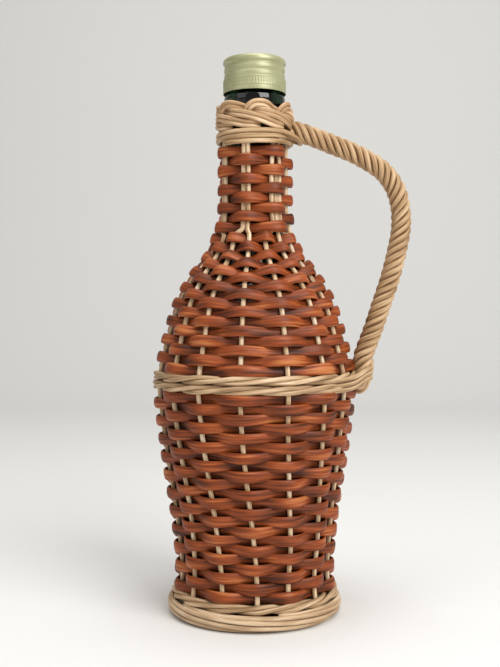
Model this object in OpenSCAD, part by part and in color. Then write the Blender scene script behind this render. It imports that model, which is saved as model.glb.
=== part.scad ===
// A glass bottle in a woven cane jacket, with a roped cane handle and a rolled-on screw cap.
// The bottle stands on z = 0 with its axis on Z, and the handle is on the +X side.
// Every cane lies on one guide curve, which is the outside of the jacket seen from the side.
// A weaver passes in front of one stake and behind the next, and 15 stakes make it alternate.

/* [Jacket] */
// Radius of the jacket where it leaves the foot
foot_r = 41.2; // [40.5:0.1:42]
// Radius of the jacket at the belly
belly_r = 51.5; // [50.5:0.1:52.5]
// Radius of the jacket on the neck
neck_r = 19.4; // [19.2:0.1:19.8]
// Height of the belly
belly_z = 118; // [116:1:119]
// Height at which the shoulder has run out into the neck
neck_z = 204; // [202:1:206]
// Height at which the woven neck ends and the collar begins
collar_z = 232; // [231:0.5:233]

/* [Canes] */
// Number of stakes, the upright canes
stakes = 15; // [15]
// Thickness of a stake
stake_d = 2.3; // [2.1:0.05:2.3]
// Height of the weaver, a flat oval cane, where it passes in front of a stake
weaver_w = 5.3; // [5:0.05:5.4]
// Thickness of the weaver
weaver_t = 2.1; // [1.9:0.05:2.1]
// Thickness of the round canes in the bands, the borders and the lashings
rod_d = 2.4; // [2.2:0.05:2.4]
// Turns of the weaver between the foot and the belly band
lower_turns = 22; // [22]
// Turns of the weaver between the belly band and the neck
shoulder_turns = 16; // [16]
// Turns of the weaver on the neck
neck_turns = 9; // [9]

/* [Handle] */
// Thickness of the cane in the middle of the handle
core_d = 4.8; // [4.4:0.1:4.8]
// Thickness of the canes that are roped round it
strand_d = 2.6; // [2.4:0.05:2.6]
// Number of the roped canes
strands = 5; // [5]
// Length along the handle in which a roped cane goes round once
lay = 21; // [19:1:24]

/* [Glass and cap] */
// Height of the bottle's mouth
mouth_z = 275.5; // [275.5]
// Thickness of the glass
wall = 2.6; // [2.2:0.1:2.8]
// Radius of the cap
cap_r = 15.75; // [15.75]
// Height of the cap's lower edge
cap_z = 259.1; // [259:0.1:260]
// Height of the cap's top
top_z = 276.7; // [276.7]

/* [Hidden] */

cane = "#E5CDA6";
stained = "#A9522C";
glass_green = "#10170F";

// Free space between canes that cross, in front of a stake and behind it
front_gap = 0.4;
back_gap = 0.15;
glass_gap = 0.35;
// Depths of the cane centres below the guide curve
front_depth = weaver_t / 2;
stake_depth = weaver_t + front_gap + stake_d / 2;
back_depth = stake_depth + stake_d / 2 + back_gap + weaver_t / 2;
cover = back_depth + weaver_t / 2 + glass_gap;

// The guide curve from the foot to the collar, as [radius, height]. The body's and the
// shoulder's points are shares of the way between the foot, the belly and the neck.
body_shares = [[0, 0.1], [0.233, 0.34], [0.65, 0.63], [0.97, 0.9]];
shoulder_shares = [
    [0.931, 0.123], [0.782, 0.333], [0.645, 0.473], [0.417, 0.613],
    [0.262, 0.684], [0.137, 0.753], [0.047, 0.86]
];
foot_z = 17;
guide_points = concat(
    [[foot_r + 1.8, 5], [foot_r + 1.1, 11], [foot_r + 0.2, foot_z]],
    [for (f = body_shares) [mix(foot_r, belly_r, f[0]), mix(foot_z, belly_z, f[1])]],
    [[belly_r, belly_z]],
    [for (f = shoulder_shares) [mix(neck_r, belly_r, f[0]), mix(belly_z, neck_z, f[1])]],
    [[neck_r, neck_z], [neck_r, collar_z], [neck_r, collar_z + 14]]
);

function mix(a, b, t) = a + (b - a) * t;
function smooth(t) = let (u = max(0, min(1, t))) u * u * (3 - 2 * u);
function unit(v) = v / norm(v);

// A smooth curve through points, with a number of steps between each two
function bend(a, b, c, d, t) =
    (2 * b + (c - a) * t + (2 * a - 5 * b + 4 * c - d) * t * t
    + (3 * b - a - 3 * c + d) * t * t * t) / 2;
function curve(p, steps) = concat(
    [for (i = [0 : len(p) - 2], j = [0 : steps - 1])
        bend(p[max(i - 1, 0)], p[i], p[i + 1], p[min(i + 2, len(p) - 1)], j / steps)],
    [p[len(p) - 1]]
);
// The length of a curve up to each of its points
function lengths(p) =
    [for (i = 0, s = 0; i < len(p); s = s + norm(p[min(i + 1, len(p) - 1)] - p[i]), i = i + 1) s];

guide = curve(guide_points, 6);
guide_s = lengths(guide);
radius_table = [for (i = [0 : len(guide) - 1]) [guide_s[i], guide[i][0]]];
height_table = [for (i = [0 : len(guide) - 1]) [guide_s[i], guide[i][1]]];
reverse_table = [for (i = [0 : len(guide) - 1]) [guide[i][1], guide_s[i]]];

// A place on the guide, s millimetres along it, and the directions along and out of it
function on_guide(s) = [lookup(s, radius_table), lookup(s, height_table)];
function up_guide(s) = unit(on_guide(s + 2) - on_guide(s - 2));
function out_of(s) = let (u = up_guide(s)) [u[1], -u[0]];
function below(s, depth) = on_guide(s) - depth * out_of(s);
function at_height(z) = lookup(z, reverse_table);
function around(rz, a) = [rz[0] * cos(a), rz[0] * sin(a), rz[1]];

// Where the sections of the weave begin, in millimetres along the guide
foot_wale_s = at_height(11.1);
lower_s = at_height(13.8);
belly_s = at_height(112);
belly_wale_s = at_height(114.5);
shoulder_s = at_height(121.8);
shoulder_end_s = at_height(189.6);
neck_s = at_height(190.4);
collar_s = at_height(collar_z);

// A row stays level round the front and climbs to the next at the back, by the end of a turn
climb_share = 0.3;
function climb(t) = floor(t) + smooth((t - floor(t) - 1 + climb_share) / climb_share);
// The stake at which each section of the weave starts, at the back of the bottle
first_stake = 6;
step = 360 / stakes;

// The stakes lean: they come out of the foot further round than they reach the belly,
// and no two are quite evenly spaced, by these degrees at the belly and at the foot
foot_lean = 8;
drift = [0, 1.5, -1, 2, 0, -2, 1, -1.5, 0, 2, -1, 0, 3, 4, 1];
foot_drift = [0, 0, 0, 0, 0, 0, 0, 0, 0, -3, 0, 2, 1, 2, 3];
// On the neck the stakes close up into seven groups, by a few degrees unevenly spaced
groups = 7;
group_size = [2, 2, 3, 2, 2, 2, 2];
group_first = [-7, -5, -3, 0, 2, 4, 6];
group_start = -155;
group_drift = [-2, 0, 5, 3, 0, 0, 0];
gather_from = at_height(188.8);
gather_to = at_height(191.8);

function wrap(k) = (k % stakes + stakes) % stakes;
function group_of(k) =
    [for (g = [0 : groups - 1]) if (wrap(k - group_first[g]) < group_size[g]) g][0];
function place_in(k) = wrap(k - group_first[group_of(k)]);
function group_angle(g) = group_start + 360 / groups * g + group_drift[g % groups];
// How far a stake lies to the side of the middle of its group, as a count of stakes
function side_of(k) = place_in(k) - (group_size[group_of(k)] - 1) / 2;
function nearest_turn(a, b) = a + 360 * round((b - a) / 360);
function free_angle(k, s) = step * k
    + foot_lean * (1 - smooth((s - lower_s) / (belly_s - lower_s)))
    + foot_drift[wrap(k)] * (1 - smooth((s - lower_s) / 60))
    + drift[wrap(k)] * smooth((s - lower_s) / 30) * smooth((neck_s - s) / 40);
function stake_angle(k, s) = let (
        free = free_angle(k, s),
        r = below(s, stake_depth)[0],
        close = group_angle(group_of(k)) + side_of(k) * (stake_d + 0.15) / r * 180 / PI
    ) mix(free, nearest_turn(close, free), smooth((s - gather_from) / (gather_to - gather_from)));

// A closed skin over rings that have the same number of points. The rings' points go
// counter-clockwise for someone who looks along the cane.
module over(rings) {
    n = len(rings[0]);
    last = (len(rings) - 1) * n;
    polyhedron(
        points = [for (r = rings) for (p = r) p],
        faces = concat(
            [for (i = [1 : n - 2]) [0, i, i + 1]],
            [for (i = [1 : n - 2]) [last, last + i + 1, last + i]],
            [for (j = [0 : len(rings) - 2], i = [0 : n - 1])
                [j * n + i, (j + 1) * n + i, j * n + (i + 1) % n]],
            [for (j = [0 : len(rings) - 2], i = [0 : n - 1])
                [j * n + (i + 1) % n, (j + 1) * n + i, (j + 1) * n + (i + 1) % n]]
        )
    );
}

// A round cane along a path of points, with its sides kept from twisting
function heading(p, i) = unit(p[min(i + 1, len(p) - 1)] - p[max(i - 1, 0)]);
function square_to(v, t) = unit(v - (v * t) * t);
function sides(p, v, i = 0) = i == len(p) ? []
    : let (u = square_to(v, heading(p, i))) concat([u], sides(p, u, i + 1));
module round_cane(p, d, n = 5, start = [0, 0, 1]) {
    side = sides(p, start);
    over([for (i = [0 : len(p) - 1]) let (
            w = cross(heading(p, i), side[i]),
            r = (is_list(d) ? d[i] : d) / 2
        ) [for (a = [0 : n - 1]) p[i] + r * (cos(360 * a / n) * side[i] + sin(360 * a / n) * w)]]);
}

// One ring of the weaver: a flat oval of six points that stands square on the guide
oval = [[0.5, 0.27], [0.5, -0.27], [0, -0.5], [-0.5, -0.27], [-0.5, 0.27], [0, 0.5]];
function oval_ring(s, depth, a, w, t) =
    [for (v = oval) around(below(s, depth) + v[0] * t * out_of(s) + v[1] * w * up_guide(s), a)];

// The weaver between two heights: at each stake it is in front or behind, by turns.
// The rows leave row_gap free, so the cane is narrower where it is behind.
row_gap = 0.3;
// High on the shoulder the weaver bends more sharply and stands further off a stake
function bulge(s) = 0.3 * smooth((30 - on_guide(s)[0]) / 8);
module stake_weaver(s0, s1, turns, parity) {
    pitch = (s1 - s0) / turns;
    back_w = 2 * (pitch - row_gap) - weaver_w;
    over([for (i = [0 : round(stakes * (turns - climb_share))]) let (
            t = i / stakes,
            s = s0 + pitch * (0.5 + min(climb(t), turns - 1)),
            k = first_stake + i,
            front = (i + parity) % 2 == 0
        ) oval_ring(s, front ? front_depth - bulge(s) : back_depth, stake_angle(k, s),
            front ? weaver_w : back_w, weaver_t)]);
}
module lower_weaver() {
    color(stained) stake_weaver(lower_s, belly_s, lower_turns, 0);
}
module shoulder_weaver() {
    color(stained) stake_weaver(shoulder_s, shoulder_end_s, shoulder_turns, 1);
}
// On the neck the weaver takes two rings at each group, one on either side of it
first_group = 5;
module neck_weaver() {
    s1 = collar_s - 0.4;
    pitch = (s1 - neck_s) / neck_turns;
    color(stained) over([for (i = [0 : round(groups * (neck_turns - climb_share))], side = [-1, 1]) let (
            t = i / groups,
            s = neck_s + pitch * (0.5 + min(climb(t), neck_turns - 1)),
            g = (first_group + i) % groups,
            a = group_angle(first_group + i),
            half = 90 * group_size[g] * stake_d / (PI * neck_r) - 2,
            front = i % 2 == 0
        ) oval_ring(s, front ? front_depth - 0.1 : back_depth, a + side * half,
            front ? weaver_w - 0.5 : 2 * (pitch - row_gap) - weaver_w + 0.5, weaver_t)]);
}

// A band of three round canes. Each passes in front of two stakes and behind the third:
// it comes out low, climbs in front, and goes back in above the cane that comes out next.
// After one round all three step up to the next row, between the same two stakes.
wale_d = 2.15;
wale_front = stake_depth - (stake_d + wale_d) / 2 - 0.3;
wale_back = stake_depth + (stake_d + wale_d) / 2 + 0.15;
wale_mid = (wale_front + wale_back) / 2;
wale_rise = wale_d / 2 + 0.12;
wale_row = 4.7;
function wale_point(s0, j, r) = let (
        k = first_stake + floor(j / 2),
        half = j % 2 == 1,
        s = s0 + wale_row * max(0, floor(j / 2 / stakes), min(1, j / 2 - stakes + 1)),
        phase = (floor(j / 2) + r) % 3,
        depth = half ? [wale_mid, wale_front, wale_mid][phase]
            : [wale_back, wale_front, wale_front][phase],
        rise = wale_rise * (half ? [-1, 0, 1][phase] : [0, -1, 1][phase]),
        a = half ? (stake_angle(k, s) + stake_angle(k + 1, s)) / 2 : stake_angle(k, s)
    ) around(below(s + rise, depth), a);
module wale_rod(s0, turns, r) {
    last = 2 * stakes * turns - (turns > 1 ? 2 : 0);
    color(cane) round_cane(concat([for (j = [0 : last - 1]) wale_point(s0, j, r)],
        [mix(wale_point(s0, last - 1, r), wale_point(s0, last, r), 0.9)]), wale_d);
}

// The stakes are long canes bent up on both sides of the base, which cross in two layers.
// Canes 1 to 4 lie under canes 5 to 8, and the fourth is cut short on one side.
base_z = 5.2;
layer = (stake_d + 0.1) / 2;
cross_angle = [-12, 84];
cane_ends = [[6, 1], [7, 0], [8, -1], [undef, -2], [-3, 2], [-4, 3], [-5, 4], [-6, 5]];
cross_pitch = stake_d + 0.2;

// The collar: each pair comes out over the lashing, bends over the next pair on its right,
// goes behind it, slopes down in front of the one after, and is tucked in.
// The points are degrees round the neck, height over the lashing, and radius.
collar_route = [
    [0, 0.2, 15.8], [1.2, 5.6, 16.1], [3, 7.6, 17.2], [8, 9.7, 18.4], [16, 11.2, 18.6], [27, 11.5, 18.3],
    [38, 10.8, 16.9], [49, 9.8, 15], [60, 8.8, 14.9], [70, 8.1, 16.5], [80, 7.5, 18],
    [92, 6.8, 18.8], [106, 5.8, 19], [120, 4.5, 19], [134, 3.2, 18.6], [146, 2.1, 18.3],
    [156, 1.4, 18.2], [165, 1.2, 18.1], [173, 1.1, 16.8], [179, 1.1, 15.8]
];
lashing_h = 8.4;
// The stakes taper towards the collar
tip_d = 2;
function collar_path(k) = let (
        g = group_of(k),
        n = len(collar_route) - 1,
        unrolled = [for (q = collar_route) [q[0] * PI / 180 * 17.5, q[1]]],
        offset = -sign(side_of(k)) * (tip_d + 0.06) / 2
    ) [for (i = [0 : n]) let (
            d = unit(unrolled[min(i + 1, n)] - unrolled[max(i - 1, 0)]),
            q = unrolled[i] + offset * [-d[1], d[0]]
        ) around([collar_route[i][2], collar_z + lashing_h + q[1]],
            group_angle(g) + q[0] / 17.5 * 180 / PI)];
// The middle stake of the group of three is cut off under the lashing
function is_cut(k) = group_size[group_of(k)] == 3 && place_in(k) == 1;

stake_heights = [9.8, 14, 22, 37, 53, 69, 84, 98, 110, 122, 134, 146, 157, 165, 172, 178, 184,
    188.6, 189.7, 190.7, 192, 205, 222];
function stake_path(k, dir, side, z) = let (
        e = [cos(dir), sin(dir), 0],
        f = [-sin(dir), cos(dir), 0],
        low = stake_angle(k, lower_s),
        r0 = below(at_height(stake_heights[0]), stake_depth)[0]
    ) concat(
        [7 * e + side * f + [0, 0, z]],
        [for (q = [[15.5, base_z], [r0 - 5, base_z], [r0 - 2.2, base_z + 0.5], [r0 - 0.6, base_z + 2]])
            around(q, low)],
        [for (h = stake_heights) let (s = at_height(h)) around(below(s, stake_depth), stake_angle(k, s))],
        is_cut(k) ? [] : collar_path(k)
    );
function reversed(p) = [for (i = [len(p) - 1 : -1 : 0]) p[i]];
module stake_cane(i) {
    upper = i >= 4;
    dir = cross_angle[upper ? 1 : 0];
    side = cross_pitch * (1.5 - i % 4);
    z = base_z + (upper ? layer : -layer);
    ends = cane_ends[i];
    near = stake_path(ends[1], dir, upper ? -side : side, z);
    stub = [-7.4 * [cos(dir), sin(dir), 0] + side * [-sin(dir), cos(dir), 0] + [0, 0, z]];
    far = is_undef(ends[0]) ? stub : stake_path(ends[0], dir + 180, upper ? side : -side, z);
    path = concat(reversed(far), near);
    color(cane) round_cane(path, [for (p = path) mix(stake_d, tip_d, smooth((p[2] - 212) / 20))],
        5, [cos(dir + 90), sin(dir + 90), 0]);
}

// The base is woven like the sides, over and under the stakes, from the cross outwards
base_d = 1.8;
module base_weaver() {
    r0 = 16.5;
    turns = 5;
    swing = (stake_d + base_d) / 2 + 0.35;
    color(stained) round_cane([for (i = [0 : stakes * turns]) let (
            r = r0 + 2.75 * i / stakes
        ) [r * cos(step * (first_stake + i) + foot_lean), r * sin(step * (first_stake + i) + foot_lean),
            base_z + (i % 2 == 0 ? swing : -swing)]], base_d, 5);
}

// The bottle stands on a hoop, which is worn flat, and canes are rolled over it
hoop_r = 37.4;
hoop_flat = 0.5;
module foot_hoop() {
    color(cane) rotate_extrude($fn = 96) intersection() {
        translate([hoop_r, rod_d / 2 - hoop_flat]) circle(d = rod_d, $fn = 32);
        translate([hoop_r - rod_d, 0]) square(2 * rod_d);
    }
}
// Each border cane starts under the foot wale, winds down and out over the ones before it,
// and is tucked in above the hoop
border_canes = 5;
border_angle = 320;
border_d = 2;
border_route = [[40.9, 7.6], [42.4, 6.6], [42.8, 4.8], [42.3, 2.7], [40.5, 1.4], [39, 3]];
module foot_border(n) {
    route = curve(border_route, 4);
    color(cane) round_cane([for (j = [0 : len(route) - 1]) let (
            a = 360 * n / border_canes + border_angle * j / (len(route) - 1)
        ) around(route[j], a)], border_d);
}

// The cane that lashes the handle's upper end goes twice round the neck, dips under the root
// of the handle, and is tucked in behind it
neck_lash_r = below(collar_s, stake_depth)[0] + (stake_d + rod_d) / 2 + 0.15;
root_route = [
    [-46, 19.2, 238.75], [-33, 20.7, 237.5], [-18, 22.1, 235.3], [-9, 22.8, 234.2], [0, 23, 233.2],
    [9, 22.8, 234.2], [18, 22.1, 235.5], [30, 21.2, 237.5]
];
module neck_lashing() {
    turns = 2.22;
    ring = 20;
    pitch = rod_d + 0.15;
    first = -138;
    color(cane) round_cane(concat([for (i = [0 : ring * turns]) let (a = first + 360 * i / ring)
            [neck_lash_r * cos(a), neck_lash_r * sin(a), collar_z + rod_d / 2 + 0.1 + pitch * i / ring]],
        [for (q = root_route) around([q[1], q[2]], q[0])]), rod_d, 5);
}

// The handle is one thick cane, bent to a bow from the collar down to the belly band
handle_points = [
    [20.6, 241], [29, 238.2], [39.4, 234], [47, 231], [53.2, 228], [62.8, 222], [68.5, 215.5], [72, 208],
    [73.5, 198], [73, 189], [70.5, 177], [67.3, 165], [63.3, 153], [59.4, 141], [56.6, 133.7],
    [55.3, 130], [54.4, 126.8], [54.1, 123.6]
];
handle_line = [for (q = curve(handle_points, 3)) [q[0], 0, q[1]]];
handle_s = lengths(handle_line);
function on_handle(s) = [
    lookup(s, [for (i = [0 : len(handle_line) - 1]) [handle_s[i], handle_line[i][0]]]), 0,
    lookup(s, [for (i = [0 : len(handle_line) - 1]) [handle_s[i], handle_line[i][2]]])];
handle_length = handle_s[len(handle_s) - 1];
module handle_core() {
    n = 28;
    color(stained) round_cane([for (i = [0 : n]) on_handle(handle_length * i / n)], core_d, 7, [0, 1, 0]);
}
// The roped canes start beside the neck and stop above the belly band
rope_from = 2;
rope_to = handle_length - 10.5;
rope_r = (core_d + strand_d) / 2 + 0.27;
module handle_strand(n) {
    turn_steps = 6;
    count = round((rope_to - rope_from) / lay * turn_steps);
    color(cane) round_cane([for (i = [0 : count]) let (
            s = mix(rope_from, rope_to, i / count),
            t = unit(on_handle(s + 1) - on_handle(s - 1)),
            w = [t[2], 0, -t[0]],
            a = 360 * (n / strands + i / turn_steps)
        ) on_handle(s) + rope_r * (cos(a) * w + sin(a) * [0, 1, 0])], strand_d, 4, [0, 1, 0]);
}
// Four short canes bind the handle's lower end over the belly band, two outside it and one on
// either side. The points are distance from the axis and height.
bind_outside = [
    [59.2, 130.6], [57.9, 127], [57.6, 123.5], [57.2, 119], [56.4, 115], [55.1, 112], [53.2, 109.8]
];
bind_beside = [[54.9, 130.4], [55.4, 127], [55.9, 123], [56, 119], [55.6, 116], [54.6, 114], [53, 113]];
module belly_lashing() {
    for (side = [-1, 1], share = [1, 3]) let (route = share == 1 ? bind_outside : bind_beside)
        color(cane) round_cane(
            [for (q = route) [q[0], side * share * (rod_d + 0.2) / 2, q[1]]], rod_d, 5, [0, 1, 0]);
}

// The glass follows the jacket's inside. Its mouth has a ring under the cap and a rounded lip.
punt_h = 13;
base_glass_z = 9.1;
corner_r = 6;
finish_r = 13.7;
bore_r = 9.3;
ring_r = 15.3;
glass_heights = [for (z = [22 : 6 : 226]) z];
module glass_bottle() {
    low = below(at_height(20), cover)[0];
    outside = concat(
        [for (a = [0 : 15 : 75])
            [(low - corner_r - 4) * sin(a) / sin(75), base_glass_z + punt_h * cos(a) - 1.8]],
        [for (a = [-90 : 15 : 0])
            [low - corner_r + corner_r * cos(a), base_glass_z + corner_r * (1 + sin(a))]],
        [for (z = glass_heights) below(at_height(z), cover)],
        [[neck_r - cover, collar_z], [neck_r - cover, 249], [ring_r - 0.6, 252.2], [ring_r, 253]],
        [[ring_r, 257.4], [ring_r - 0.6, 258.2], [finish_r, 258.8], [finish_r, mouth_z - 1.4]],
        [for (a = [0 : 30 : 90]) [finish_r - 1.4 + 1.4 * cos(a), mouth_z - 1.4 + 1.4 * sin(a)]],
        [[bore_r + 1.2, mouth_z], [bore_r, mouth_z - 1.2], [bore_r, 250]]
    );
    inside = concat(
        [for (z = reversed(glass_heights)) below(at_height(z), cover + wall)],
        [for (a = [0 : -15 : -75])
            [low - corner_r + (corner_r - wall) * cos(a),
                base_glass_z + corner_r + (corner_r - wall) * sin(a)]],
        [for (a = [75 : -15 : 0])
            [(low - corner_r - 5) * sin(a) / sin(75), base_glass_z + wall + punt_h * cos(a) - 1.5]]
    );
    color(glass_green) rotate_extrude($fn = 96)
        polygon(concat(outside, [[neck_r - cover - wall, 244]], inside));
}

// The cap is one thin sheet, drawn to a cup, with two rolled grooves and a rolled bead
sheet = 0.3;
groove = 0.5;
module screw_cap() {
    grooves = [265.5, 268.6, 272.6];
    side = concat(
        [[cap_r, cap_z]],
        [for (z = grooves)
            each [[cap_r, z - 0.8], [cap_r - groove, z - 0.3],
                [cap_r - groove, z + 0.3], [cap_r, z + 0.8]]],
        [for (a = [0 : 15 : 90]) [cap_r - 2 + 2 * cos(a), top_z - 2 + 2 * sin(a)]]
    );
    inner = concat(
        [for (a = [90 : -15 : 0]) [cap_r - 2 + (2 - sheet) * cos(a), top_z - 2 + (2 - sheet) * sin(a)]],
        [for (z = reversed(grooves))
            each [[cap_r - sheet, z + 0.8], [cap_r - groove - sheet, z + 0.3],
                [cap_r - groove - sheet, z - 0.3], [cap_r - sheet, z - 0.8]]],
        [[cap_r - sheet, cap_z]]
    );
    color("#D0D6A5") rotate_extrude($fn = 96)
        polygon(concat(side, [[0, top_z], [0, top_z - sheet]], inner));
}
module cap_liner() {
    color("#E8E6DC") translate([0, 0, mouth_z + 0.06])
        cylinder(r = 13.6, h = top_z - sheet - mouth_z - 0.12, $fn = 96);
}

glass_bottle();
screw_cap();
cap_liner();
stake_cane(0);  // stake_cane_1
stake_cane(1);  // stake_cane_2
stake_cane(2);  // stake_cane_3
stake_cane(3);  // stake_cane_4
stake_cane(4);  // stake_cane_5
stake_cane(5);  // stake_cane_6
stake_cane(6);  // stake_cane_7
stake_cane(7);  // stake_cane_8
base_weaver();
foot_hoop();
foot_border(0);  // foot_border_1
foot_border(1);  // foot_border_2
foot_border(2);  // foot_border_3
foot_border(3);  // foot_border_4
foot_border(4);  // foot_border_5
wale_rod(foot_wale_s, 1, 0);  // foot_wale_1
wale_rod(foot_wale_s, 1, 1);  // foot_wale_2
wale_rod(foot_wale_s, 1, 2);  // foot_wale_3
lower_weaver();
wale_rod(belly_wale_s, 2, 0);  // belly_wale_1
wale_rod(belly_wale_s, 2, 1);  // belly_wale_2
wale_rod(belly_wale_s, 2, 2);  // belly_wale_3
shoulder_weaver();
neck_weaver();
neck_lashing();
handle_core();
belly_lashing();
handle_strand(0);  // handle_strand_1
handle_strand(1);  // handle_strand_2
handle_strand(2);  // handle_strand_3
handle_strand(3);  // handle_strand_4
handle_strand(4);  // handle_strand_5
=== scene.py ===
import math
import random

import bpy
import numpy as np
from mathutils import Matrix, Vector


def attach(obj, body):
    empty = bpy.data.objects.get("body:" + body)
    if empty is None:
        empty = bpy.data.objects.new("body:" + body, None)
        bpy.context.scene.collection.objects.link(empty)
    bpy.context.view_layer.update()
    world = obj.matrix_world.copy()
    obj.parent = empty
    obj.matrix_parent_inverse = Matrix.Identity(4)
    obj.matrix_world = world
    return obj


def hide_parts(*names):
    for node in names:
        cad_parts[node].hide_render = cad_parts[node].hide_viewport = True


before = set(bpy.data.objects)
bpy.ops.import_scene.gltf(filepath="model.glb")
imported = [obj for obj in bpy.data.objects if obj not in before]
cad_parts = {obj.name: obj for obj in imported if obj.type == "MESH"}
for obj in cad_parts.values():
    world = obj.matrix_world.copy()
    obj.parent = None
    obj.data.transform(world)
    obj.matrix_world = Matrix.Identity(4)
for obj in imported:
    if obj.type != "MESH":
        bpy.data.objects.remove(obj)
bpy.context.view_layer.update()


# The floor is a pale board that runs up behind the bottle into a pale wall, in one sheet.
# It is matt paint, and it is only there to stand on and to be seen against.
def linear(code):
    """An sRGB hex colour as the linear colour that a shader takes."""
    parts = [int(code[i:i + 2], 16) / 255 for i in (1, 3, 5)]
    return [c / 12.92 if c <= 0.04045 else ((c + 0.055) / 1.055) ** 2.4 for c in parts] + [1]


def add(tree, kind, inputs=None, **settings):
    """A node with its settings, and with a value or a link for each input named."""
    made = tree.nodes.new(kind)
    for name, value in settings.items():
        setattr(made, name, value)
    for name, value in (inputs or {}).items():
        if isinstance(value, bpy.types.NodeSocket):
            tree.links.new(value, made.inputs[name])
        else:
            made.inputs[name].default_value = value
    return made


def shader(name, **inputs):
    """A new material with its Principled shader, whose inputs are given by name."""
    material = bpy.data.materials.new(name)
    material.use_nodes = True
    principled = material.node_tree.nodes["Principled BSDF"]
    for key, value in inputs.items():
        principled.inputs[key.replace("_", " ")].default_value = value
    return material, material.node_tree, principled


def deselect():
    if bpy.context.object and bpy.context.object.mode != "OBJECT":
        bpy.ops.object.mode_set(mode="OBJECT")
    bpy.ops.object.select_all(action="DESELECT")


floor_half = 1.6
floor_back = 0.95
bend_radius = 0.45
bend_steps = 12
deselect()
bpy.ops.mesh.primitive_plane_add(size=2 * floor_half, location=(0, floor_back - floor_half, 0))
floor = bpy.context.object
floor.name = "floor"
bpy.ops.object.transform_apply(location=True)
bpy.ops.object.mode_set(mode="EDIT")
bpy.ops.mesh.select_mode(type="EDGE")
bpy.ops.mesh.select_all(action="DESELECT")
bpy.ops.object.mode_set(mode="OBJECT")
for edge in floor.data.edges:
    edge.select = all(floor.data.vertices[v].co.y > floor_back - 0.01 for v in edge.vertices)
bpy.ops.object.mode_set(mode="EDIT")
for i in range(bend_steps):
    a = math.radians(90) * (i + 0.5) / bend_steps
    chord = 2 * bend_radius * math.sin(math.radians(90) / bend_steps / 2)
    bpy.ops.mesh.extrude_region_move(
        TRANSFORM_OT_translate={"value": (0, chord * math.cos(a), chord * math.sin(a))})
bpy.ops.mesh.extrude_region_move(TRANSFORM_OT_translate={"value": (0, 0, floor_half)})
bpy.ops.object.mode_set(mode="OBJECT")
bpy.ops.object.shade_smooth()
paint, tree, principled = shader("matt_wall_paint", Base_Color=linear("#E4E3E0"), Roughness=0.75)
floor.data.materials.append(paint)

# The camera stands where the photograph was taken from, half a metre from the bottle's axis.
camera_distance = 0.5
camera_height = 0.1532
camera_azimuth = math.radians(-88)
pitch_down = math.radians(1.57)
yaw_left = math.radians(0.261)
focal_pixels = 990
picture_height = 667
bpy.ops.object.camera_add(
    location=(camera_distance * math.cos(camera_azimuth),
              camera_distance * math.sin(camera_azimuth), camera_height),
    rotation=(math.radians(90) - pitch_down, 0, camera_azimuth + math.radians(90) + yaw_left))
camera = bpy.context.object
camera.name = "camera"
camera.data.sensor_width = 36
camera.data.lens = 36 * focal_pixels / picture_height
camera.data.clip_start = 0.01
bpy.context.scene.camera = camera

# Two large soft lamps and an even grey sky light it, as on an overcast day.
for name, place, size, power in (
        ("lamp_left", (-0.95, -0.8, 0.9), 0.9, 2.5), ("lamp_right", (0.75, -0.9, 0.9), 0.9, 17),
        ("lamp_top", (0, -0.1, 1.5), 1.0, 12)):
    bpy.ops.object.light_add(type="AREA", location=place)
    lamp = bpy.context.object
    lamp.name = name
    lamp.data.size = size
    lamp.data.energy = power
    aim = Vector((0, 0, 0.14)) - Vector(place)
    lamp.rotation_euler = aim.to_track_quat("-Z", "Y").to_euler()
world = bpy.data.worlds.new("overcast_sky")
bpy.context.scene.world = world
world.use_nodes = True
world.node_tree.nodes["Background"].inputs["Color"].default_value = linear("#F5F4F2")
world.node_tree.nodes["Background"].inputs["Strength"].default_value = 0.35
bpy.context.scene.view_settings.view_transform = "Standard"

# The bottle is blown glass, so dark a green that it looks black. Only the bead under the cap shows,
# and the body in the gaps of the weave. The jacket's outside seen from the side is the guide
# that the glass and every cane follow, as radius and height in millimetres.
MM = 0.001
foot_r, belly_r, neck_r = 41.2, 51.5, 19.4
belly_z, neck_z, collar_z, foot_z = 118, 204, 232, 17
body_shares = [(0, 0.1), (0.233, 0.34), (0.65, 0.63), (0.97, 0.9)]
shoulder_shares = [(0.931, 0.123), (0.782, 0.333), (0.645, 0.473), (0.417, 0.613),
                   (0.262, 0.684), (0.137, 0.753), (0.047, 0.86)]
stake_d, weaver_w, weaver_t = 2.3, 5.3, 2.1
front_depth = weaver_t / 2
stake_depth = weaver_t + 0.4 + stake_d / 2
back_depth = stake_depth + stake_d / 2 + 0.15 + weaver_t / 2
cover = back_depth + weaver_t / 2 + 0.35


def mix(a, b, t):
    return a + (b - a) * t


def smooth(t):
    t = max(0.0, min(1.0, t))
    return t * t * (3 - 2 * t)


def curve(points, steps):
    """A smooth curve through points, with a number of steps between each two."""
    p = [np.array(q, float) for q in points]
    made = []
    for i in range(len(p) - 1):
        a, b, c, d = p[max(i - 1, 0)], p[i], p[i + 1], p[min(i + 2, len(p) - 1)]
        for j in range(steps):
            t = j / steps
            made.append((2 * b + (c - a) * t + (2 * a - 5 * b + 4 * c - d) * t * t
                         + (3 * b - a - 3 * c + d) * t ** 3) / 2)
    return made + [p[-1]]


guide_points = (
    [(foot_r + 1.8, 5), (foot_r + 1.1, 11), (foot_r + 0.2, foot_z)]
    + [(mix(foot_r, belly_r, f), mix(foot_z, belly_z, g)) for f, g in body_shares]
    + [(belly_r, belly_z)]
    + [(mix(neck_r, belly_r, f), mix(belly_z, neck_z, g)) for f, g in shoulder_shares]
    + [(neck_r, neck_z), (neck_r, collar_z), (neck_r, collar_z + 14)])
guide = np.array(curve(guide_points, 6))
guide_s = np.concatenate([[0], np.cumsum(np.linalg.norm(np.diff(guide, axis=0), axis=1))])


def on_guide(s):
    return np.array([np.interp(s, guide_s, guide[:, 0]), np.interp(s, guide_s, guide[:, 1])])


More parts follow.
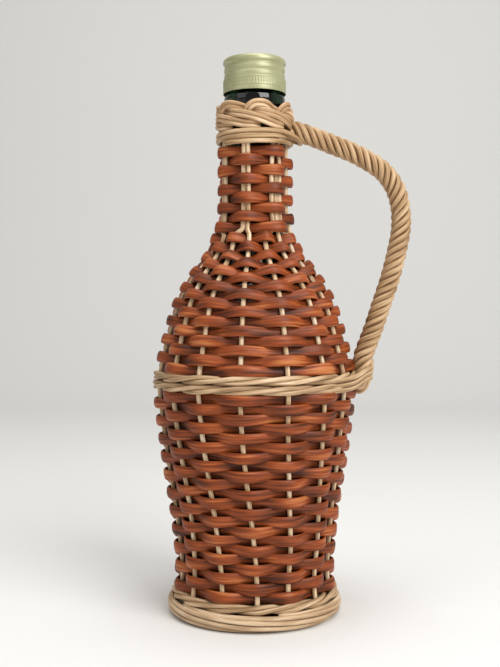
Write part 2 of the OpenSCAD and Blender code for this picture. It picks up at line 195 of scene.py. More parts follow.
def up_guide(s):
    step = on_guide(s + 2) - on_guide(s - 2)
    return step / np.linalg.norm(step)


def out_of(s):
    up = up_guide(s)
    return np.array([up[1], -up[0]])


def below(s, depth):
    return on_guide(s) - depth * out_of(s)


def at_height(z):
    return float(np.interp(z, guide[:, 1], guide_s))


def around(rz, degrees):
    a = math.radians(degrees)
    return np.array([rz[0] * math.cos(a), rz[0] * math.sin(a), rz[1]])


def lathe(name, profile, steps=96):
    """The piece that a profile of radius and height in millimetres sweeps round the bottle's axis."""
    deselect()
    mesh = bpy.data.meshes.new(name)
    points = [(r * MM, 0, z * MM) for r, z in profile]
    mesh.from_pydata(points, [(i, i + 1) for i in range(len(points) - 1)], [])
    piece = bpy.data.objects.new(name, mesh)
    bpy.context.collection.objects.link(piece)
    bpy.context.view_layer.objects.active = piece
    piece.select_set(True)
    bpy.ops.object.mode_set(mode="EDIT")
    bpy.ops.mesh.select_all(action="SELECT")
    bpy.ops.mesh.spin(steps=steps, angle=2 * math.pi, center=(0, 0, 0), axis=(0, 0, 1))
    bpy.ops.mesh.select_all(action="SELECT")
    bpy.ops.mesh.remove_doubles(threshold=1e-6)
    bpy.ops.mesh.normals_make_consistent(inside=False)
    bpy.ops.object.mode_set(mode="OBJECT")
    bpy.ops.object.shade_smooth_by_angle(angle=math.radians(35))
    return piece


def place(piece, material, slot, body="bottle", replaced=()):
    """The piece gets its material and body, and stands for CAD nodes, which it hides. The slot is not used."""
    piece.data.materials.clear()
    piece.data.materials.append(material)
    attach(piece, body)
    if replaced:
        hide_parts(*replaced)


def tube(name, rings, marks, girth, crest=None):
    """A closed skin over rings of points in millimetres. Its UV map runs in millimetres: along the cane
    by the marks, and round it over the girth. The crest is how far out each ring stands, from 0 to 1."""
    n = len(rings[0])
    points = [tuple(p * MM) for ring in rings for p in ring]
    ends = len(points)
    points += [tuple(np.mean(rings[0], axis=0) * MM), tuple(np.mean(rings[-1], axis=0) * MM)]
    faces, uvs = [], []
    last = (len(rings) - 1) * n
    for i in range(n):
        k = (i + 1) % n
        faces.append((ends, i, k))
        uvs += [(marks[0] - 1, girth * 0.5), (marks[0], girth * i / n), (marks[0], girth * (i + 1) / n)]
        faces.append((ends + 1, last + k, last + i))
        uvs += [(marks[-1] + 1, girth * 0.5), (marks[-1], girth * (i + 1) / n), (marks[-1], girth * i / n)]
    for j in range(len(rings) - 1):
        for i in range(n):
            k = (i + 1) % n
            faces.append((j * n + i, (j + 1) * n + i, (j + 1) * n + k, j * n + k))
            low, high = girth * i / n, girth * (i + 1) / n
            uvs += [(marks[j], low), (marks[j + 1], low), (marks[j + 1], high), (marks[j], high)]
    mesh = bpy.data.meshes.new(name)
    mesh.from_pydata(points, [], faces)
    layer = mesh.uv_layers.new(name="cane")
    layer.data.foreach_set("uv", np.array(uvs, np.float32).ravel())
    if crest is not None:
        attribute = mesh.attributes.new("crest", "FLOAT", "POINT")
        attribute.data.foreach_set("value", np.array(
            [c for c in crest for _ in range(n)] + [crest[0], crest[-1]], np.float32))
    mesh.shade_smooth()
    piece = bpy.data.objects.new(name, mesh)
    bpy.context.collection.objects.link(piece)
    return piece


punt_h, base_glass_z, corner_r, finish_r, bore_r, ring_r = 13, 9.1, 6, 13.7, 9.3, 15.3
mouth_z, wall = 275.5, 2.6
low_r = below(at_height(20), cover)[0]
glass_heights = range(22, 227, 3)
profile = [((low_r - corner_r - 4) * math.sin(math.radians(a)) / math.sin(math.radians(75)),
            base_glass_z + punt_h * math.cos(math.radians(a)) - 1.8) for a in range(0, 76, 5)]
profile += [(low_r - corner_r + corner_r * math.cos(math.radians(a)),
             base_glass_z + corner_r * (1 + math.sin(math.radians(a)))) for a in range(-90, 1, 10)]
profile += [tuple(below(at_height(z), cover)) for z in glass_heights]
profile += [tuple(p) for p in curve(
    [(neck_r - cover, 232), (neck_r - cover, 249), (13.4, 251.4), (ring_r - 0.2, 252.7), (ring_r, 254.2),
     (ring_r, 256.2), (ring_r - 0.3, 257.6), (finish_r + 0.3, 258.6), (finish_r, 259.4)], 4)]
profile += [(finish_r - 1.4 + 1.4 * math.cos(math.radians(a)),
             mouth_z - 1.4 + 1.4 * math.sin(math.radians(a))) for a in range(0, 91, 15)]
profile += [(bore_r + 1.2 - 1.2 * math.sin(math.radians(a)),
             mouth_z - 1.2 + 1.2 * math.cos(math.radians(a))) for a in range(0, 91, 15)]
profile += [(bore_r, 250), (neck_r - cover - wall, 244)]
profile += [tuple(below(at_height(z), cover + wall)) for z in reversed(glass_heights)]
profile += [(low_r - corner_r + (corner_r - wall) * math.cos(math.radians(a)), base_glass_z + corner_r
             + (corner_r - wall) * math.sin(math.radians(a))) for a in range(0, -91, -10)]
profile += [((low_r - corner_r - 5) * math.sin(math.radians(a)) / math.sin(math.radians(75)),
             base_glass_z + wall + punt_h * math.cos(math.radians(a)) - 1.5) for a in range(75, -1, -5)]
bottle = lathe("bottle_glass_body", profile, 128)

# The thread that the cap grips is a low half-round ridge, moulded on the finish in one and a half turns.
thread_turns, thread_pitch, thread_h, thread_z = 1.6, 4, 0.8, 264.6
count = int(48 * thread_turns)
rings, marks = [], []
for i in range(count + 1):
    t = i / count
    a = 360 * thread_turns * t + 150
    size = thread_h * min(1, 8 * t, 8 * (1 - t)) ** 0.5 + 0.02
    rings.append([around((finish_r - 0.2 + size * 1.2 * math.cos(math.radians(b)),
                          thread_z + thread_pitch * thread_turns * t + 0.9 * size * math.sin(math.radians(b))), a)
                  for b in range(-180, 180, 30)])
    marks.append(2 * math.pi * finish_r * thread_turns * t)
thread = tube("bottle_thread", rings, marks, 6)
glass, tree, principled = shader(
    "dark_green_bottle_glass", Base_Color=linear("#1C3A20"), Roughness=0.02, IOR=1.52)
principled.inputs["Transmission Weight"].default_value = 1.0
coordinates = add(tree, "ShaderNodeTexCoord")
waves = add(tree, "ShaderNodeTexNoise", {"Vector": coordinates.outputs["Object"], "Scale": 60.0, "Detail": 1.0})
ripple = add(tree, "ShaderNodeBump", {"Height": waves.outputs["Fac"], "Strength": 0.12, "Distance": 0.002})
tree.links.new(ripple.outputs["Normal"], principled.inputs["Normal"])
place(bottle, glass, "bottle_glass", replaced=["glass_bottle"])
place(thread, glass, "bottle_glass")

# The stakes are eight long pale canes. They cross under the bottle in two layers, bend up round the
# foot and run to the collar, where they are plaited off. They are peeled willow-coloured rattan core,
# sawn round, with fine pores that run along the cane and a dull natural sheen.
stakes, groups, step = 15, 7, 24
lower_turns, shoulder_turns, neck_turns = 22, 16, 9
lower_s, belly_s, belly_wale_s = at_height(13.8), at_height(112), at_height(114.5)
foot_wale_s, shoulder_s, shoulder_end_s = at_height(11.1), at_height(121.8), at_height(189.6)
neck_s, collar_s = at_height(190.4), at_height(collar_z)
first_stake, climb_share, foot_lean = 6, 0.3, 8
drift = [0, 1.5, -1, 2, 0, -2, 1, -1.5, 0, 2, -1, 0, 3, 4, 1]
foot_drift = [0, 0, 0, 0, 0, 0, 0, 0, 0, -3, 0, 2, 1, 2, 3]
group_drift = [-2, 0, 5, 3, 0, 0, 0]
group_size = [2, 2, 3, 2, 2, 2, 2]
group_first = [-7, -5, -3, 0, 2, 4, 6]
gather_from, gather_to = at_height(188.8), at_height(191.8)


def group_of(k):
    return [g for g in range(groups) if (k - group_first[g]) % stakes < group_size[g]][0]


def group_angle(g):
    return -155 + 360 / groups * g + group_drift[g % groups]


def side_of(k):
    g = group_of(k)
    return (k - group_first[g]) % stakes - (group_size[g] - 1) / 2


def stake_angle(k, s):
    free = (step * k + foot_lean * (1 - smooth((s - lower_s) / (belly_s - lower_s)))
            + foot_drift[k % stakes] * (1 - smooth((s - lower_s) / 60))
            + drift[k % stakes] * smooth((s - lower_s) / 30) * smooth((neck_s - s) / 40))
    close = (group_angle(group_of(k))
             + side_of(k) * (stake_d + 0.15) / below(s, stake_depth)[0] * 180 / math.pi)
    close += 360 * round((free - close) / 360)
    return mix(free, close, smooth((s - gather_from) / (gather_to - gather_from)))


def unit(v):
    return v / np.linalg.norm(v)


def round_cane(name, path, diameter, sides=10, start=(0, 0, 1), seed=0):
    """A round cane along a path of points in millimetres, a little uneven, as peeled cane is."""
    draw = random.Random(seed)
    n = len(path)
    d = np.array(diameter, float) * np.ones(n)
    marks = np.concatenate([[0], np.cumsum([np.linalg.norm(path[i + 1] - path[i]) for i in range(n - 1)])])
    waves = [(draw.uniform(0.006, 0.014), draw.uniform(0.15, 0.6), draw.uniform(0, 6.28)) for _ in range(4)]
    side = np.array(start, float)
    rings = []
    for i in range(n):
        ahead = unit(path[min(i + 1, n - 1)] - path[max(i - 1, 0)])
        side = unit(side - ahead * np.dot(side, ahead))
        up = np.cross(ahead, side)
        r = d[i] / 2 * (1 + sum(h * math.sin(f * marks[i] + o) for h, f, o in waves))
        rings.append([path[i] + r * (math.cos(2 * math.pi * j / sides) * side
                                     + math.sin(2 * math.pi * j / sides) * up) for j in range(sides)])
    shift = draw.uniform(0, 400)
    return tube(name, rings, marks + shift, math.pi * float(np.mean(d)))


base_z, layer, cross_angle = 5.2, (stake_d + 0.1) / 2, (-12, 84)
cane_ends = [(6, 1), (7, 0), (8, -1), (None, -2), (-3, 2), (-4, 3), (-5, 4), (-6, 5)]
collar_route = [
    (0, 0.2, 15.8), (1.2, 5.6, 16.1), (3, 7.6, 17.2), (8, 9.7, 18.4), (16, 11.2, 18.6), (27, 11.5, 18.3),
    (38, 10.8, 16.9), (49, 9.8, 15), (60, 8.8, 14.9), (70, 8.1, 16.5), (80, 7.5, 18), (92, 6.8, 18.8),
    (106, 5.8, 19), (120, 4.5, 19), (134, 3.2, 18.6), (146, 2.1, 18.3), (156, 1.4, 18.2), (165, 1.2, 18.1),
    (173, 1.1, 16.8), (179, 1.1, 15.8)]
lashing_h, tip_d = 8.4, 2.0


def collar_path(k):
    g, n = group_of(k), len(collar_route) - 1
    unrolled = [np.array([math.radians(a) * 17.5, h]) for a, h, r in collar_route]
    offset = -np.sign(side_of(k)) * (tip_d + 0.06) / 2
    path = []
    for i, (a, h, r) in enumerate(collar_route):
        d = unit(unrolled[min(i + 1, n)] - unrolled[max(i - 1, 0)])
        q = unrolled[i] + offset * np.array([-d[1], d[0]])
        path.append(around((r, collar_z + lashing_h + q[1]), group_angle(g) + math.degrees(q[0] / 17.5)))
    return path


def stake_path(k, degrees, side, z):
    a = math.radians(degrees)
    e, f = np.array([math.cos(a), math.sin(a), 0]), np.array([-math.sin(a), math.cos(a), 0])
    low = stake_angle(k, lower_s)
    r0 = below(at_height(9.8), stake_depth)[0]
    path = [7 * e + side * f + np.array([0, 0, z])]
    path += [around(q, low) for q in
             ((15.5, base_z), (r0 - 5, base_z), (r0 - 2.2, base_z + 0.5), (r0 - 0.6, base_z + 2))]
    heights = [9.8, 12, 14] + [z for z in range(17, 187, 5)] + [188.6, 190.2, 192, 196, 201, 206, 212, 222]
    path += [around(below(at_height(h), stake_depth), stake_angle(k, at_height(h))) for h in heights]
    cut = group_size[group_of(k)] == 3 and side_of(k) == 0
    return path if cut else path + collar_path(k)


cane_tones = [("#B08C66", 0.05), ("#DEBE98", 0.42), ("#ECD2B0", 0.6), ("#F8EAD2", 0.95)]


def cane_finish(name, tones, fibre, streak, roughness, bump, wear_and_painted_light=0, soiled=0):
    """Cane: fine pores and broader streaks that run along it, on the UV map in millimetres, with slow
    changes of tone from place to place. The tones go from the dark pores to the worn, polished top, which is partly a
    painted highlight."""
    material, tree, principled = shader(name, Specular_IOR_Level=0.32)
    uv = add(tree, "ShaderNodeUVMap", uv_map="cane")

    def noise(along, across, detail):
        mapped = add(tree, "ShaderNodeMapping", {"Vector": uv.outputs["UV"], "Scale": (1 / along, 1 / across, 1)})
        return add(tree, "ShaderNodeTexNoise", {"Vector": mapped.outputs["Vector"], "Scale": 1.0, "Detail": detail})

    pores = noise(fibre * 20, fibre, 2.0)
    tone = add(tree, "ShaderNodeMath", {0: pores.outputs["Fac"], 1: 1.1, 2: -1.27}, operation="MULTIPLY_ADD")
    for pattern, share in ((noise(streak * 14, streak, 1.0), 1.0), (noise(28, 60, 1.0), 1.2)):
        tone = add(tree, "ShaderNodeMath", {0: pattern.outputs["Fac"], 1: share, 2: tone.outputs[0]},
                   operation="MULTIPLY_ADD")
    # Painted light: where the cane stands out in front (its crest) it is painted lighter, as wear and as a painted
    # highlight, and where it dives behind a stake it is painted darker, as painted shade.
    if wear_and_painted_light:
        crest = add(tree, "ShaderNodeAttribute", attribute_name="crest")
        tone = add(tree, "ShaderNodeMath", {0: crest.outputs["Fac"], 1: wear_and_painted_light, 2: tone.outputs[0]},
                   operation="MULTIPLY_ADD")
    if soiled:
        coordinates = add(tree, "ShaderNodeTexCoord")
        height = add(tree, "ShaderNodeSeparateXYZ", {"Vector": coordinates.outputs["Object"]})
        touched = add(tree, "ShaderNodeMapRange", {"Value": height.outputs["Z"], "From Min": collar_z * MM,
                                                   "From Max": (collar_z + 8) * MM, "To Max": -soiled})
        tone = add(tree, "ShaderNodeMath", {0: tone.outputs[0], 1: touched.outputs["Result"]}, operation="ADD")
    ramp = add(tree, "ShaderNodeValToRGB", {"Fac": tone.outputs[0]})
    ramp.color_ramp.elements.remove(ramp.color_ramp.elements[1])
    for i, (code, at) in enumerate(tones):
        element = ramp.color_ramp.elements[0] if i == 0 else ramp.color_ramp.elements.new(at)
        element.position = at
        element.color = linear(code)
    tree.links.new(ramp.outputs["Color"], principled.inputs["Base Color"])
    rough = add(tree, "ShaderNodeMapRange", {"Value": pores.outputs["Fac"], "From Min": 0.3, "From Max": 0.7,
                                             "To Min": roughness + 0.08, "To Max": roughness - 0.08})
    tree.links.new(rough.outputs["Result"], principled.inputs["Roughness"])
    relief = add(tree, "ShaderNodeBump", {"Height": pores.outputs["Fac"], "Strength": bump, "Distance": 0.0004})
    tree.links.new(relief.outputs["Normal"], principled.inputs["Normal"])
    return material


stake_cane = cane_finish("peeled_rattan_core", cane_tones, 0.6, 1.3, 0.55, 0.35, soiled=0.25)
for i, (far_k, near_k) in enumerate(cane_ends):
    upper = i >= 4
    degrees = cross_angle[upper]
    side = (stake_d + 0.2) * (1.5 - i % 4)
    z = base_z + (layer if upper else -layer)
    near = stake_path(near_k, degrees, -side if upper else side, z)
    a = math.radians(degrees)
    if far_k is None:
        far = [-7.4 * np.array([math.cos(a), math.sin(a), 0])
               + side * np.array([-math.sin(a), math.cos(a), 0]) + np.array([0, 0, z])]
    else:
        far = stake_path(far_k, degrees + 180, side if upper else -side, z)
    path = curve(far[::-1] + near, 3)
    taper = [mix(stake_d, tip_d + 0.1, smooth((p[2] - 212) / 20)) for p in path]
    piece = round_cane(f"stake_{i + 1}", path, taper, 10,
                       (math.cos(a + math.pi / 2), math.sin(a + math.pi / 2), 0), seed=i)
    place(piece, stake_cane, "stake_cane", replaced=[f"stake_cane_{i + 1}"])

# The weavers are flat oval canes, stained a warm red-brown. Each goes in front of one stake and behind the
# next, row on row. It is widest where it shows, in front, and squeezed narrow where it dives behind.


def climb(t):
    return math.floor(t) + smooth((t - math.floor(t) - 1 + climb_share) / climb_share)


def oval_section(n, flat=0.82):
    """The outline of the flat cane, as shares of its thickness and width: rounder outside than inside.
    It starts at the back, so that the seam of its UV map is hidden."""
    made = []
    for j in range(n):
        a = math.pi + 2 * math.pi * j / n
        out, across = math.cos(a), math.sin(a)
        square = (abs(out) ** 2.3 + abs(across) ** 2.3) ** (1 / 2.3)
        made.append((out / square / 2 * (1 if out > 0 else flat), -across / square / 2))
    return made


def weave(name, count, height, station, middle_w, seed, sides=14, steps=10):
    """The weaver cane past a count of stakes. The height is the place along the guide after some number of
    stakes, and a station the angle, depth and width at a stake. Halfway to the next it is middle_w wide."""
    draw = random.Random(seed)
    section = oval_section(sides)
    rings, marks, crest = [], [], []
    last, mark = None, draw.uniform(0, 200)
    rough = [(draw.gauss(0, 0.11), draw.gauss(1, 0.03), draw.gauss(0, 5)) for _ in range(count + 1)]
    for i in range((count - 1) * steps + 1):
        k = min(i // steps, count - 2)
        f = i / steps - k
        ease = (1 - math.cos(math.pi * f)) / 2
        a0, depth0, w0 = station(k, height(k))
        a1, depth1, w1 = station(k + 1, height(k + 1))
        lift, swell, lean = (mix(p, q, ease) for p, q in zip(rough[k], rough[k + 1]))
        behind = (mix(depth0, depth1, ease) - front_depth) / (back_depth - front_depth)
        s = height(k + f) + lift
        chord = 0.4 * on_guide(s)[0] * (1 - math.cos(math.radians(a1 - a0) / 2)) * math.sin(math.pi * f) ** 2
        depth = mix(depth0, depth1, ease) + chord
        w = (middle_w + ((w0 if f < 0.5 else w1) - middle_w) * math.cos(math.pi * f) ** 2) * swell
        tilt = 0.35 * math.sin(math.radians(lean))
        centre = below(s, depth)
        ring = []
        for out, across in section:
            x, y = out * weaver_t - across * w * tilt, across * w
            ring.append(around(centre + x * out_of(s) + y * up_guide(s), mix(a0, a1, f)))
        here = around(centre, mix(a0, a1, f))
        mark += 0 if last is None else float(np.linalg.norm(here - last))
        last = here
        rings.append(ring)
        marks.append(mark)
        # The crest also drives the painted highlight in front and the painted shade behind the stakes.
        crest.append(1 - behind)
    return tube(name, rings, marks, 12.5, crest)


# The stained cane is painted lighter on its front crest, as wear and painted highlight, and darker behind the stakes,
# as painted shade.
stained = cane_finish(
    "stained_flat_cane",
    [("#401B0A", 0.1), ("#70320E", 0.36), ("#914218", 0.6), ("#BA6F3C", 0.92)], 0.8, 2, 0.5, 0.5, wear_and_painted_light=0.14)
for name, node, s0, s1, turns, parity in (
        ("lower_weave", "lower_weaver", lower_s, belly_s, lower_turns, 0),
        ("shoulder_weave", "shoulder_weaver", shoulder_s, shoulder_end_s, shoulder_turns, 1)):
    pitch = (s1 - s0) / turns

    def height(i):
        return s0 + pitch * (0.5 + min(climb(i / stakes), turns - 1))

    def station(i, s):
        front = (i + parity) % 2 == 0
        bulge = 0.3 * smooth((30 - on_guide(s)[0]) / 8)
        return (stake_angle(first_stake + i, s), front_depth - bulge + 0.05 if front else back_depth,
                weaver_w + 0.25 if front else pitch + 0.9)

    piece = weave(name, round(stakes * (turns - climb_share)) + 1, height, station, pitch + 0.6, seed=11 + parity)
    place(piece, stained, "stained_weaver", replaced=[node])

# On the neck the stakes stand in seven groups, and the weaver takes each group as one.
neck_pitch = (collar_s - 0.4 - neck_s) / neck_turns


def neck_height(i):
    return neck_s + neck_pitch * (0.5 + min(climb(i / groups), neck_turns - 1))


def neck_station(i, s):
    front = i % 2 == 0
    return (group_angle(5 + i), front_depth - 0.1 if front else back_depth, weaver_w + 0.4 if front else neck_pitch + 0.3)


piece = weave("neck_weave", round(groups * (neck_turns - climb_share)) + 1, neck_height, neck_station,
              neck_pitch + 0.3, seed=17, steps=16)
place(piece, stained, "stained_weaver", replaced=["neck_weaver"])

# Under the bottle a thinner stained cane fills the base, over and under the stakes from the cross outwards.
base_d = 1.8
base_path = []
for i in range(stakes * 5 * 2 + 1):
    r, wave = 16.5 + 2.75 * i / 2 / stakes, math.cos(math.pi * i / 2)
    a = step * (first_stake + i / 2) + foot_lean
    base_path.append(around((r, base_z + ((stake_d + base_d) / 2 + 0.3) * wave), a))
piece = round_cane("base_weave", curve(base_path, 2), base_d, 8, seed=21)
place(piece, stained, "stained_weaver", replaced=["base_weaver"])

# The bottle stands on a hoop of thick cane, worn flat underneath, and canes are rolled over it down from
# the foot band. They are the palest canes, and have been bleached by washing.
rod_d, hoop_r, hoop_flat = 2.4, 37.4, 0.5
foot_cane = cane_finish("bleached_rattan_core", [("#A28260", 0.05), ("#C7A986", 0.42), ("#D6BB99", 0.6), ("#EAD6B9", 0.95)],
                        0.6, 1.3, 0.52, 0.35)
section = []
for j in range(24):
    a = 2 * math.pi * j / 24
    section.append((hoop_r + rod_d / 2 * math.cos(a), max(0, rod_d / 2 - hoop_flat + rod_d / 2 * math.sin(a))))
rings = [[around(q, -3.75 * i) for q in section] for i in range(97)]
piece = tube("foot_ring", rings, [2 * math.pi * hoop_r / 96 * i for i in range(97)], 7.5)
deselect()
place(piece, foot_cane, "foot_cane", replaced=["foot_hoop"])

border_canes, border_angle, border_d = 5, 320, 2.25
border_route = [(41.2, 8), (42.1, 7.3), (42.9, 5.5), (42.6, 3.2), (41, 1.6), (39, 3)]
for n in range(border_canes):
    route = curve(border_route, 16)
    path = [around(q, 360 * n / border_canes + border_angle * j / (len(route) - 1)) for j, q in enumerate(route)]
    piece = round_cane(f"foot_border_cane_{n + 1}", path, border_d, 10, seed=30 + n)
    place(piece, foot_cane, "foot_cane", replaced=[f"foot_border_{n + 1}"])

# The bands at the foot and the belly are three round canes each, which overtake one another: in front of two
# stakes and behind the third.
wale_d, wale_row = 2.15, 4.7
wale_front = stake_depth - (stake_d + wale_d) / 2 - 0.3
wale_back = stake_depth + (stake_d + wale_d) / 2 + 0.15
wale_mid = (wale_front + wale_back) / 2
wale_rise = wale_d / 2 + 0.12


def wale_point(s0, j, r):
    k, half = first_stake + j // 2, j % 2 == 1
    s = s0 + wale_row * max(0, j // 2 // stakes, min(1, j / 2 - stakes + 1))
    phase = (j // 2 + r) % 3
    depth = (wale_mid, wale_front, wale_mid)[phase] if half else (wale_back, wale_front, wale_front)[phase]
    rise = wale_rise * ((-1, 0, 1)[phase] if half else (0, -1, 1)[phase])
    a = (stake_angle(k, s) + stake_angle(k + 1, s)) / 2 if half else stake_angle(k, s)
    return around(below(s + rise, depth), a) * np.array([0.989, 0.989, 1])


band_cane = cane_finish("natural_rattan_core",
                        [("#886A48", 0.05), ("#B3936F", 0.40), ("#C9AA86", 0.6), ("#E8D1B1", 0.95)],
                        0.7, 1.5, 0.48, 0.35)
for band, s0, turns in (("foot", foot_wale_s, 1), ("belly", belly_wale_s, 2)):
    for r in range(3):
        last = 2 * stakes * turns - (2 if turns > 1 else 0)
        path = [wale_point(s0, j, r) for j in range(last)]
        path.append(mix(path[-1], wale_point(s0, last, r), 0.9))
        piece = round_cane(f"{band}_band_cane_{r + 1}", curve(path, 6), wale_d + 0.1, 10, seed=40 + turns * 3 + r)
        place(piece, band_cane, "band_cane", replaced=[f"{band}_wale_{r + 1}"])

# The handle is one thick cane bent to a bow, with five round canes roped round it. A cane lashes its upper end
# to the neck, under the collar, and short canes bind its lower end over the belly band.
core_d, strand_d, strands, lay = 4.8, 2.6, 5, 21
handle_points = [
    (20.6, 241), (29, 238.2), (39.4, 234), (47, 231), (53.2, 228), (62.8, 222), (68.5, 215.5), (72, 208),
    (73.5, 198), (73, 189), (70.5, 177), (67.3, 165), (63.3, 153), (59.4, 141), (56.6, 133.7), (55.3, 130),
    (54.4, 126.8), (54.1, 123.6)]
handle_line = np.array([(x, 0, z) for x, z in curve([(17.2, 241.6)] + handle_points + [(54.2, 118.4)], 3)])
handle_s = np.concatenate([[0], np.cumsum(np.linalg.norm(np.diff(handle_line, axis=0), axis=1))])
handle_length = handle_s[-1]


def on_handle(s):
    return np.array([np.interp(s, handle_s, handle_line[:, i]) for i in range(3)])


core_cane = cane_finish("reddish_tan_handle_cane", [("#7A4C2C", 0.1), ("#9E6A42", 0.42), ("#B68259", 0.6), ("#CDA07A", 0.95)],
                        0.7, 1.5, 0.55, 0.35)
handle_cane = cane_finish("handled_rattan_core", [("#8E6C48", 0.05), ("#B8966F", 0.38), ("#CDAD86", 0.6), ("#E6CEAC", 0.95)],
                          0.7, 1.5, 0.48, 0.4)
core_path = curve([on_handle(handle_length * i / 40) for i in range(41)], 2)
piece = round_cane("handle_rod", core_path, core_d, 16, (0, 1, 0), seed=50)
place(piece, core_cane, "handle_core_cane", replaced=["handle_core"])
rope_from, rope_to = 5.45, handle_length - 0.4
rope_r = (core_d + strand_d) / 2
for n in range(strands):
    path = []
    for i in range(-4, round((rope_to - rope_from) / lay * 18) + 1):
        s = rope_from + lay * i / 18
        t = unit(on_handle(s + 1) - on_handle(s - 1))
        a = 2 * math.pi * (n / strands + i / 18)
        path.append(on_handle(s) + rope_r * (math.cos(a) * np.array([t[2], 0, -t[0]])
                                             + math.sin(a) * np.array([0, 1, 0])))
    piece = round_cane(f"handle_rope_cane_{n + 1}", path, strand_d + 0.15, 10, (0, 1, 0), seed=60 + n)
    place(piece, handle_cane, "handle_cane", replaced=[f"handle_strand_{n + 1}"])

lash_r = below(collar_s, stake_depth)[0] + (stake_d + rod_d) / 2 + 0.15
path = []
for i in range(int(40 * 2.22) + 1):
    path.append(around((lash_r, collar_z + rod_d / 2 + 0.1 + (rod_d + 0.15) * i / 40), -138 + 360 * i / 40))
path += [around((r, z), a) for a, r, z in (
    (-46, 19.2, 238.75), (-33, 20.7, 237.9), (-18, 22.1, 236.4), (-9, 22.8, 235.5), (0, 23, 234.7),
    (9, 22.8, 235.5), (18, 22.1, 236.6), (30, 21.2, 238))]
piece = round_cane("neck_lashing_cane", curve(path, 2), rod_d, 10, seed=70)
place(piece, handle_cane, "handle_cane", replaced=["neck_lashing"])

bind_outside = [(58.7, 126.4), (58.7, 122.5), (58, 118.4), (57, 114.8), (55.3, 111.9), (53, 110.4), (51.2, 110.9),
                (50, 112.4)]
bind_beside = [(56.7, 123.4), (56.8, 120.8), (56.3, 117.4), (55.3, 114.8), (53.6, 112.75), (51.6, 112.8), (50, 114.4)]
bound = []
for side, share, route in ((-1, 1, bind_outside), (-1, 3, bind_beside), (1, 1, bind_outside), (1, 3, bind_beside)):
    y = side * share * (rod_d + 0.2) / 2
    path = [np.array([x, y, z]) for x, z in curve(route, 4)]
    bound.append(round_cane(f"belly_lashing_cane_{len(bound) + 1}", path, rod_d, 10, (0, 1, 0), seed=72 + len(bound)))
for j, piece in enumerate(bound):
    place(piece, handle_cane, "handle_cane", replaced=["belly_lashing"] if j == 0 else [])
# The ends of six band canes sweep up over the handle's foot and are cut off there, three on either side.
for j, (side, z) in enumerate(((-1, 118.4), (-1, 115.9), (-1, 113.5), (1, 118.4), (1, 115.9), (1, 113.5))):
    path = [around((r, z + rise), side * a) for a, r, rise in (
        (40, 48.6, -0.8), (31, 51.2, -0.3), (22, 52.6, 0.4), (14, 53.8, 1.5), (8.5, 55.4, 2.8), (5.6, 57.6, 3.8), (4.4, 58.6, 4.2))]
    piece = round_cane(f"band_end_cane_{j + 1}", curve(path, 5), wale_d + 0.1, 10, seed=80 + j)
    place(piece, band_cane, "band_cane")

# The cap is drawn from one thin aluminium sheet and lacquered pale green. It is rolled on: two slanting
# grooves press it into the glass thread, a band of fine ribs gives the fingers a grip, and the lower
# edge is a little ragged where the ring below was torn off.
cap_r, cap_z, top_z, sheet = 15.75, 259.1, 276.7, 0.3
cap_steps, cap_corner = 288, 2
waist, waist_low, waist_high = 0.5, 265.9, 273.9
grooves = [(272.7, 0.45, 0.8), (269.2, 0.45, 0.6), (266.2, 0.2, 0.3), (261.2, 0.1, 0.3)]
ribs, rib_depth, rib_low, rib_high = 72, 0.18, 262, 265.6


def cap_radius(z, turn):
    """The outside radius of the cap at a height, and at a share of a turn round it."""
    inward = max(0, z - top_z + cap_corner)
    r = cap_r - cap_corner + math.sqrt(max(0, cap_corner ** 2 - inward ** 2))
    r -= waist * smooth((z - waist_low) / 0.5) * smooth((waist_high - z) / 0.6)
    for middle, depth, half in grooves:
        r -= depth * math.exp(-((z - middle) / half) ** 2)
    ribbed = smooth((z - rib_low) / 0.4) * smooth((rib_high - z) / 0.4)
    return r - rib_depth * ribbed * (0.5 - 0.5 * math.cos(2 * math.pi * ribs * turn))


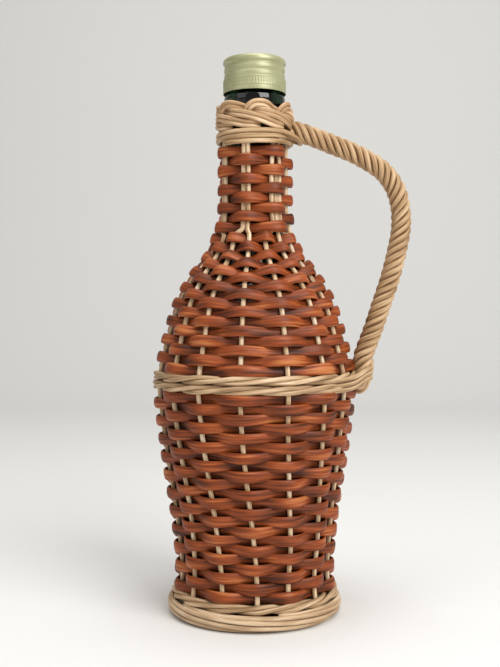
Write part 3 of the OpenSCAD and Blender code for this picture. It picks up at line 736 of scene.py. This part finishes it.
levels = [cap_z + 0.1] + [cap_z + 0.35 + 0.25 * i for i in range(61)] + [
    top_z - cap_corner + cap_corner * math.sin(math.radians(a)) for a in range(8, 91, 8)]
cap = lathe("cap_shell", [(cap_radius(z, 0), z) for z in levels]
            + [(cap_radius(top_z, 0) - 0.3, top_z), (9, top_z), (4, top_z), (0, top_z)], cap_steps)
edge = random.Random(5)
ragged = [edge.gauss(0, 0.07) for _ in range(cap_steps)]
for v in cap.data.vertices:
    r, z = math.hypot(v.co.x, v.co.y) / MM, v.co.z / MM
    turn = math.atan2(v.co.y, v.co.x) / 2 / math.pi % 1
    if z < top_z - 0.001:
        v.co.x, v.co.y = (q * cap_radius(z, turn) / r for q in v.co.xy)
    if z < cap_z + 0.2:
        v.co.z = max(cap_z, z + ragged[round(turn * cap_steps) % cap_steps]) * MM
sheet_wall = cap.modifiers.new("sheet", "SOLIDIFY")
sheet_wall.thickness = sheet * MM
sheet_wall.offset = -1
bpy.ops.object.modifier_apply(modifier="sheet")
lacquer, tree, principled = shader("lacquered_aluminium", Metallic=0.3, Coat_Weight=0.2, Coat_Roughness=0.3)
coordinates = add(tree, "ShaderNodeTexCoord")
speckle = add(tree, "ShaderNodeTexNoise", {"Vector": coordinates.outputs["Object"], "Scale": 900.0, "Detail": 2.0})
clouds = add(tree, "ShaderNodeTexNoise", {"Vector": coordinates.outputs["Object"], "Scale": 90.0, "Detail": 2.0})
tint = add(tree, "ShaderNodeValToRGB", {"Fac": clouds.outputs["Fac"]})
tint.color_ramp.elements[0].position, tint.color_ramp.elements[0].color = 0.35, linear("#9FA077")
tint.color_ramp.elements[1].position, tint.color_ramp.elements[1].color = 0.7, linear("#B4B48C")
tree.links.new(tint.outputs["Color"], principled.inputs["Base Color"])
rough = add(tree, "ShaderNodeMapRange", {"Value": speckle.outputs["Fac"], "To Min": 0.34, "To Max": 0.5})
tree.links.new(rough.outputs["Result"], principled.inputs["Roughness"])
place(cap, lacquer, "cap_lacquer", body="cap", replaced=["screw_cap"])

# The liner is a disc of white foamed plastic, pressed into the top of the cap.
liner = lathe("cap_seal", [(0, mouth_z + 0.08), (12.9, mouth_z + 0.08), (13.5, mouth_z + 0.25),
                           (13.5, top_z - sheet - 0.1), (0, top_z - sheet - 0.1)], 96)
foam, tree, principled = shader("white_foamed_liner", Roughness=0.8)
coordinates = add(tree, "ShaderNodeTexCoord")
cells = add(tree, "ShaderNodeTexVoronoi", {"Vector": coordinates.outputs["Object"], "Scale": 2500.0})
tint = add(tree, "ShaderNodeValToRGB", {"Fac": cells.outputs["Distance"]})
tint.color_ramp.elements[0].color = linear("#F0EEE6")
tint.color_ramp.elements[1].color = linear("#D8D5C8")
tree.links.new(tint.outputs["Color"], principled.inputs["Base Color"])
place(liner, foam, "liner", body="liner", replaced=["cap_liner"])
